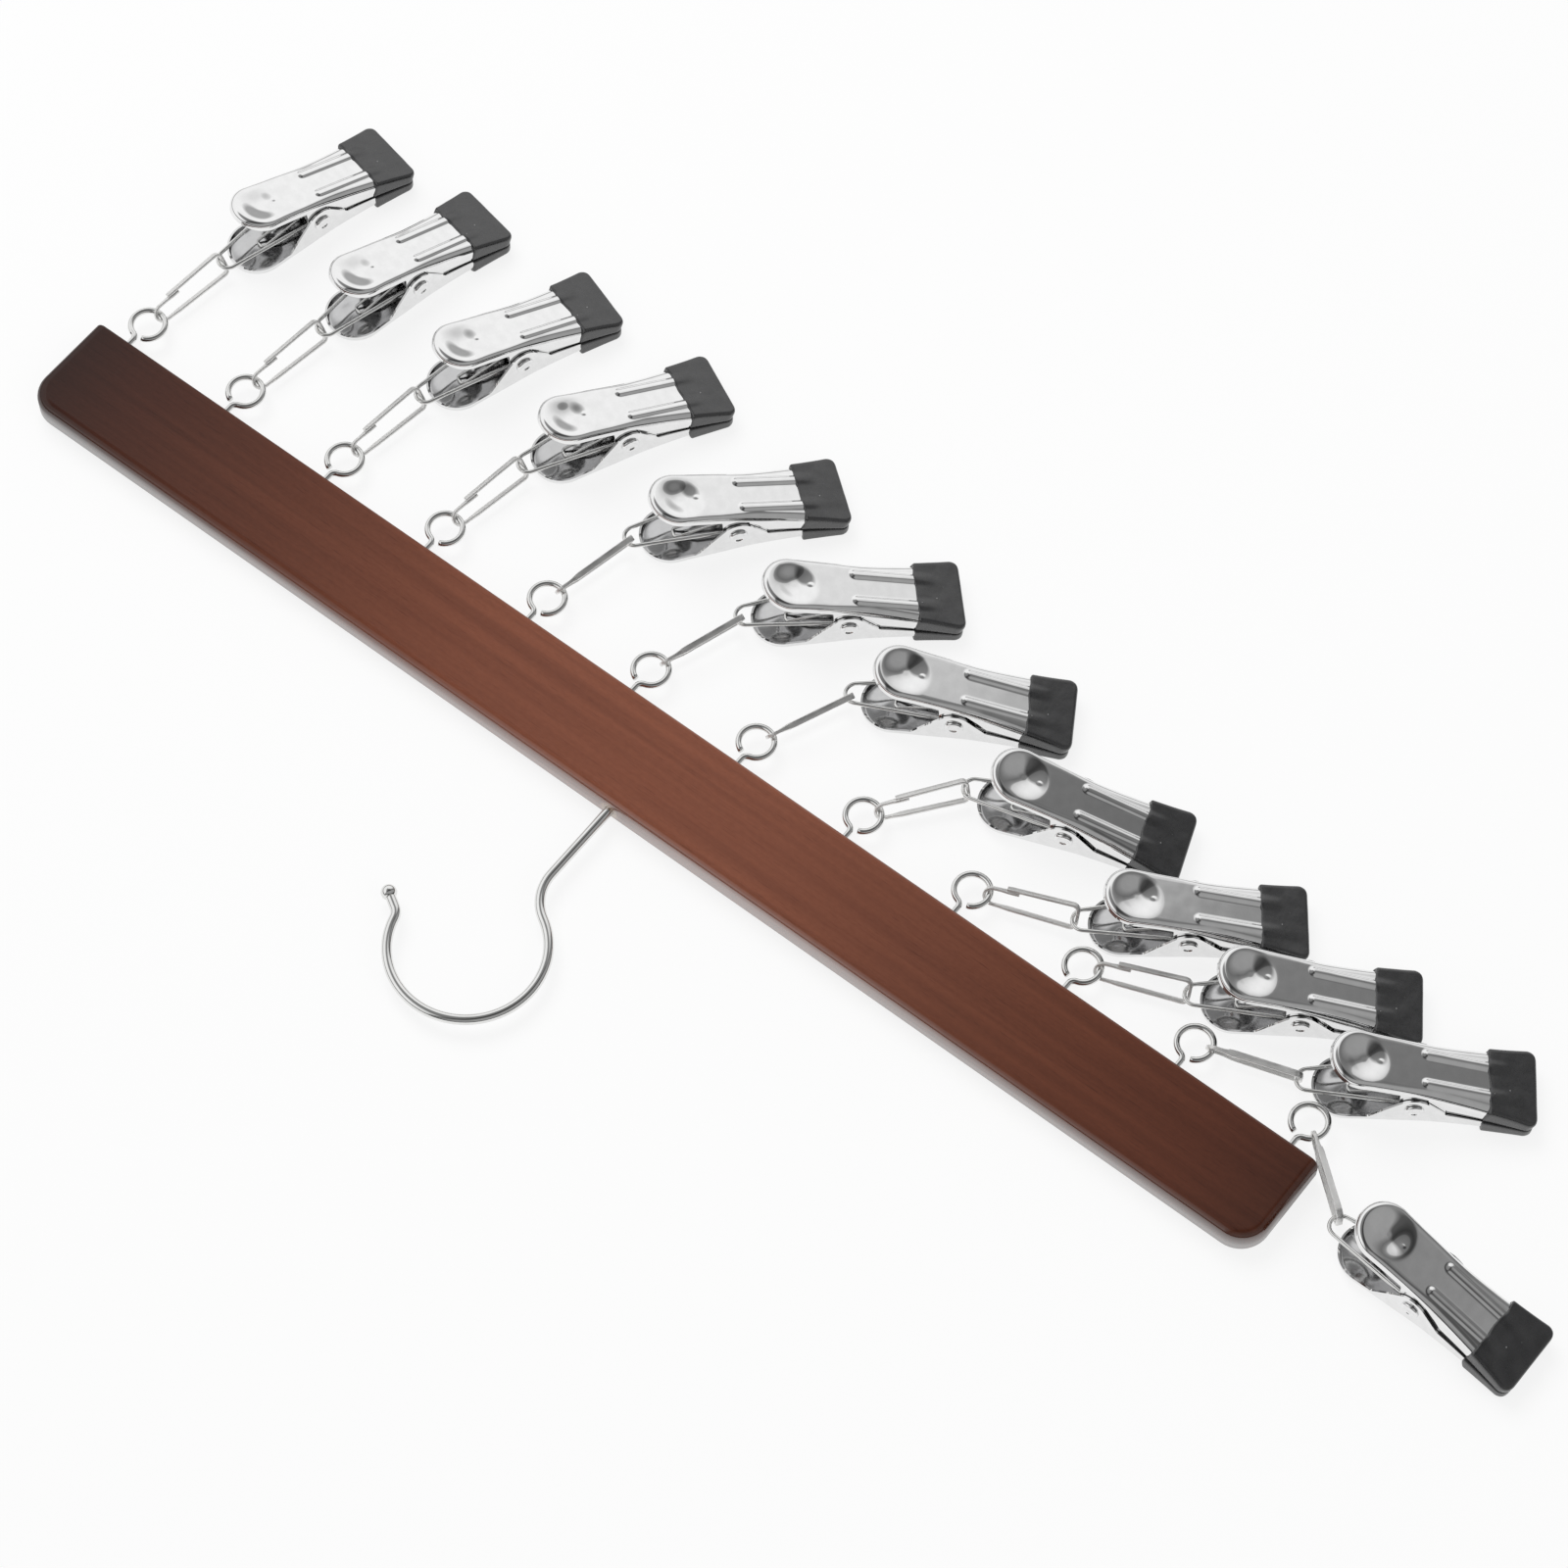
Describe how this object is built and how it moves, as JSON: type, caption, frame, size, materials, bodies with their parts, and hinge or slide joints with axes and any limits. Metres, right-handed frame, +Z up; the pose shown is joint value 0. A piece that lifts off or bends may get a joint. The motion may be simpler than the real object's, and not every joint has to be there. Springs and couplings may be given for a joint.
{
  "type": "skirt hanger",
  "caption": "Wooden bar hanger with a swivel wire hook and a row of spring clips with dipped jaw tips, hung on wire links from screw eyes, for skirts, scarves or caps.",
  "frame": {"origin": "middle of the bar's underside, on the surface the hanger lies on", "axes": "+X along the bar, +Y from the hook's edge to the clips' edge, +Z up from the surface"},
  "size_m": [0.5149, 0.2178, 0.0246],
  "materials": {
    "stained_wood": "satin lacquer over a dark red-brown stain",
    "nickel_wire": "bright nickel plate",
    "hook_chrome": "bright chrome plate",
    "link_wire": "dull nickel plate",
    "spring_steel": "plated spring wire",
    "clip_chrome": "bright nickel-chrome plate over pressed steel",
    "black_vinyl": "satin dipped vinyl"
  },
  "bodies": {
    "bar_body": {"bar": "stained_wood", "screw_eyes": "nickel_wire"},
    "hook_body": {"hook": "hook_chrome"},
    "link_body_01": {"link_01": "link_wire"},
    "clip_body_01": {"lower_jaw_01": "clip_chrome", "spring_01": "spring_steel"},
    "lever_body_01": {"upper_jaw_01": "clip_chrome"},
    "link_body_02": {"link_02": "link_wire"},
    "clip_body_02": {"lower_jaw_02": "clip_chrome", "spring_02": "spring_steel"},
    "lever_body_02": {"upper_jaw_02": "clip_chrome"},
    "link_body_03": {"link_03": "link_wire"},
    "clip_body_03": {"lower_jaw_03": "clip_chrome", "spring_03": "spring_steel"},
    "lever_body_03": {"upper_jaw_03": "clip_chrome"},
    "link_body_04": {"link_04": "link_wire"},
    "clip_body_04": {"lower_jaw_04": "clip_chrome", "spring_04": "spring_steel"},
    "lever_body_04": {"upper_jaw_04": "clip_chrome"},
    "link_body_05": {"link_05": "link_wire"},
    "clip_body_05": {"lower_jaw_05": "clip_chrome", "spring_05": "spring_steel"},
    "lever_body_05": {"upper_jaw_05": "clip_chrome"},
    "link_body_06": {"link_06": "link_wire"},
    "clip_body_06": {"lower_jaw_06": "clip_chrome", "spring_06": "spring_steel"},
    "lever_body_06": {"upper_jaw_06": "clip_chrome"},
    "link_body_07": {"link_07": "link_wire"},
    "clip_body_07": {"lower_jaw_07": "clip_chrome", "spring_07": "spring_steel"},
    "lever_body_07": {"upper_jaw_07": "clip_chrome"},
    "link_body_08": {"link_08": "link_wire"},
    "clip_body_08": {"lower_jaw_08": "clip_chrome", "spring_08": "spring_steel"},
    "lever_body_08": {"upper_jaw_08": "clip_chrome"},
    "link_body_09": {"link_09": "link_wire"},
    "clip_body_09": {"lower_jaw_09": "clip_chrome", "spring_09": "spring_steel"},
    "lever_body_09": {"upper_jaw_09": "clip_chrome"},
    "link_body_10": {"link_10": "link_wire"},
    "clip_body_10": {"lower_jaw_10": "clip_chrome", "spring_10": "spring_steel"},
    "lever_body_10": {"upper_jaw_10": "clip_chrome"},
    "link_body_11": {"link_11": "link_wire"},
    "clip_body_11": {"lower_jaw_11": "clip_chrome", "spring_11": "spring_steel"},
    "lever_body_11": {"upper_jaw_11": "clip_chrome"},
    "link_body_12": {"link_12": "link_wire"},
    "clip_body_12": {"lower_jaw_12": "clip_chrome", "spring_12": "spring_steel"},
    "lever_body_12": {"upper_jaw_12": "clip_chrome"}
  },
  "joints": [
    {"name": "hook_swivel", "type": "hinge", "parent": "bar_body", "child": "hook_body", "pos_m": [0, -0.01625, 0.005], "axis": [0, 1, 0], "continuous": true},
    {"name": "link_swing_01", "type": "hinge", "parent": "bar_body", "child": "link_body_01", "pos_m": [-0.20838, 0.03151, 0.005], "axis": [0.9925, -0.1219, 0], "range_deg": [-60, 60]},
    {"name": "clip_swing_01", "type": "hinge", "parent": "link_body_01", "child": "clip_body_01", "pos_m": [-0.20548, 0.05511, 0.006], "axis": [0.9925, -0.1219, 0], "range_deg": [-45, 45]},
    {"name": "jaw_01", "type": "hinge", "parent": "clip_body_01", "child": "lever_body_01", "pos_m": [-0.19893, 0.08607, 0.009], "axis": [0.9763, -0.2164, 0], "range_deg": [0, 28], "stiffness_Nm_per_rad": 0.35, "springref_deg": -51.57, "deforming": ["spring_01"]},
    {"name": "link_swing_02", "type": "hinge", "parent": "bar_body", "child": "link_body_02", "pos_m": [-0.17029, 0.0315, 0.005], "axis": [0.9903, -0.1392, 0], "range_deg": [-60, 60]},
    {"name": "clip_swing_02", "type": "hinge", "parent": "link_body_02", "child": "clip_body_02", "pos_m": [-0.16698, 0.05505, 0.006], "axis": [0.9903, -0.1392, 0], "range_deg": [-45, 45]},
    {"name": "jaw_02", "type": "hinge", "parent": "clip_body_02", "child": "lever_body_02", "pos_m": [-0.16086, 0.0861, 0.009], "axis": [0.9799, -0.1994, 0], "range_deg": [0, 28], "stiffness_Nm_per_rad": 0.35, "springref_deg": -51.57, "deforming": ["spring_02"]},
    {"name": "link_swing_03", "type": "hinge", "parent": "bar_body", "child": "link_body_03", "pos_m": [-0.13229, 0.0315, 0.005], "axis": [0.9903, -0.1392, 0], "range_deg": [-60, 60]},
    {"name": "clip_swing_03", "type": "hinge", "parent": "link_body_03", "child": "clip_body_03", "pos_m": [-0.12898, 0.05505, 0.006], "axis": [0.9903, -0.1392, 0], "range_deg": [-45, 45]},
    {"name": "jaw_03", "type": "hinge", "parent": "clip_body_03", "child": "lever_body_03", "pos_m": [-0.11927, 0.08513, 0.009], "axis": [0.9455, -0.3256, 0], "range_deg": [0, 28], "stiffness_Nm_per_rad": 0.35, "springref_deg": -51.57, "deforming": ["spring_03"]},
    {"name": "link_swing_04", "type": "hinge", "parent": "bar_body", "child": "link_body_04", "pos_m": [-0.09416, 0.03148, 0.005], "axis": [0.9863, -0.165, 0], "range_deg": [-60, 60]},
    {"name": "clip_swing_04", "type": "hinge", "parent": "link_body_04", "child": "clip_body_04", "pos_m": [-0.09023, 0.05493, 0.006], "axis": [0.9863, -0.165, 0], "range_deg": [-45, 45]},
    {"name": "jaw_04", "type": "hinge", "parent": "clip_body_04", "child": "lever_body_04", "pos_m": [-0.07723, 0.08367, 0.009], "axis": [0.8988, -0.4384, 0], "range_deg": [0, 28], "stiffness_Nm_per_rad": 0.35, "springref_deg": -51.57, "deforming": ["spring_04"]},
    {"name": "link_swing_05", "type": "hinge", "parent": "bar_body", "child": "link_body_05", "pos_m": [-0.05585, 0.03142, 0.005], "axis": [0.9744, -0.225, 0], "range_deg": [-60, 60]},
    {"name": "clip_swing_05", "type": "hinge", "parent": "link_body_05", "child": "clip_body_05", "pos_m": [-0.0505, 0.05459, 0.006], "axis": [0.9744, -0.225, 0], "range_deg": [-45, 45]},
    {"name": "jaw_05", "type": "hinge", "parent": "clip_body_05", "child": "lever_body_05", "pos_m": [-0.03246, 0.08028, 0.009], "axis": [0.7934, -0.6088, 0], "range_deg": [0, 28], "stiffness_Nm_per_rad": 0.35, "springref_deg": -51.57, "deforming": ["spring_05"]},
    {"name": "link_swing_06", "type": "hinge", "parent": "bar_body", "child": "link_body_06", "pos_m": [-0.0173, 0.03126, 0.005], "axis": [0.9426, -0.3338, 0], "range_deg": [-60, 60]},
    {"name": "clip_swing_06", "type": "hinge", "parent": "link_body_06", "child": "clip_body_06", "pos_m": [-0.00936, 0.05367, 0.006], "axis": [0.9426, -0.3338, 0], "range_deg": [-45, 45]},
    {"name": "jaw_06", "type": "hinge", "parent": "clip_body_06", "child": "lever_body_06", "pos_m": [0.01218, 0.07646, 0.009], "axis": [0.6947, -0.7193, 0], "range_deg": [0, 28], "stiffness_Nm_per_rad": 0.35, "springref_deg": -51.57, "deforming": ["spring_06"]},
    {"name": "link_swing_07", "type": "hinge", "parent": "bar_body", "child": "link_body_07", "pos_m": [0.02107, 0.03111, 0.005], "axis": [0.9135, -0.4067, 0], "range_deg": [-60, 60]},
    {"name": "clip_swing_07", "type": "hinge", "parent": "link_body_07", "child": "clip_body_07", "pos_m": [0.03075, 0.05283, 0.006], "axis": [0.9135, -0.4067, 0], "range_deg": [-45, 45]},
    {"name": "jaw_07", "type": "hinge", "parent": "clip_body_07", "child": "lever_body_07", "pos_m": [0.05644, 0.07041, 0.009], "axis": [0.515, -0.8572, 0], "range_deg": [0, 28], "stiffness_Nm_per_rad": 0.35, "springref_deg": -51.57, "deforming": ["spring_07"]},
    {"name": "link_swing_08", "type": "hinge", "parent": "bar_body", "child": "link_body_08", "pos_m": [0.06014, 0.03047, 0.005], "axis": [0.788, -0.6157, 0], "range_deg": [-60, 60]},
    {"name": "clip_swing_08", "type": "hinge", "parent": "link_body_08", "child": "clip_body_08", "pos_m": [0.07478, 0.04921, 0.006], "axis": [0.788, -0.6157, 0], "range_deg": [-45, 45]},
    {"name": "jaw_08", "type": "hinge", "parent": "clip_body_08", "child": "lever_body_08", "pos_m": [0.10349, 0.06146, 0.009], "axis": [0.342, -0.9397, 0], "range_deg": [0, 28], "stiffness_Nm_per_rad": 0.35, "springref_deg": -51.57, "deforming": ["spring_08"]},
    {"name": "link_swing_09", "type": "hinge", "parent": "bar_body", "child": "link_body_09", "pos_m": [0.09979, 0.02819, 0.005], "axis": [0.342, -0.9397, 0], "range_deg": [-60, 60]},
    {"name": "clip_swing_09", "type": "hinge", "parent": "link_body_09", "child": "clip_body_09", "pos_m": [0.12214, 0.03633, 0.006], "axis": [0.342, -0.9397, 0], "range_deg": [-45, 45]},
    {"name": "jaw_09", "type": "hinge", "parent": "clip_body_09", "child": "lever_body_09", "pos_m": [0.14787, 0.05455, 0.009], "axis": [0.6018, -0.7986, 0], "range_deg": [0, 28], "stiffness_Nm_per_rad": 0.35, "springref_deg": -51.57, "deforming": ["spring_09"]},
    {"name": "link_swing_10", "type": "hinge", "parent": "bar_body", "child": "link_body_10", "pos_m": [0.13776, 0.02828, 0.005], "axis": [0.3584, -0.9336, 0], "range_deg": [-60, 60]},
    {"name": "clip_swing_10", "type": "hinge", "parent": "link_body_10", "child": "clip_body_10", "pos_m": [0.15996, 0.0368, 0.006], "axis": [0.3584, -0.9336, 0], "range_deg": [-45, 45]},
    {"name": "jaw_10", "type": "hinge", "parent": "clip_body_10", "child": "lever_body_10", "pos_m": [0.18654, 0.05386, 0.009], "axis": [0.5592, -0.829, 0], "range_deg": [0, 28], "stiffness_Nm_per_rad": 0.35, "springref_deg": -51.57, "deforming": ["spring_10"]},
    {"name": "link_swing_11", "type": "hinge", "parent": "bar_body", "child": "link_body_11", "pos_m": [0.17588, 0.02794, 0.005], "axis": [0.2924, -0.9563, 0], "range_deg": [-60, 60]},
    {"name": "clip_swing_11", "type": "hinge", "parent": "link_body_11", "child": "clip_body_11", "pos_m": [0.19862, 0.03489, 0.006], "axis": [0.2924, -0.9563, 0], "range_deg": [-45, 45]},
    {"name": "jaw_11", "type": "hinge", "parent": "clip_body_11", "child": "lever_body_11", "pos_m": [0.22499, 0.05215, 0.009], "axis": [0.5736, -0.8192, 0], "range_deg": [0, 28], "stiffness_Nm_per_rad": 0.35, "springref_deg": -51.57, "deforming": ["spring_11"]},
    {"name": "link_swing_12", "type": "hinge", "parent": "bar_body", "child": "link_body_12", "pos_m": [0.21291, 0.02317, 0.005], "axis": [-0.6428, -0.766, 0], "range_deg": [-60, 60]},
    {"name": "clip_swing_12", "type": "hinge", "parent": "link_body_12", "child": "clip_body_12", "pos_m": [0.23112, 0.00789, 0.006], "axis": [-0.6428, -0.766, 0], "range_deg": [-45, 45]},
    {"name": "jaw_12", "type": "hinge", "parent": "clip_body_12", "child": "lever_body_12", "pos_m": [0.26203, 0.00533, 0.009], "axis": [-0.0175, -0.9998, 0], "range_deg": [0, 28], "stiffness_Nm_per_rad": 0.35, "springref_deg": -51.57, "deforming": ["spring_12"]}
  ]
}
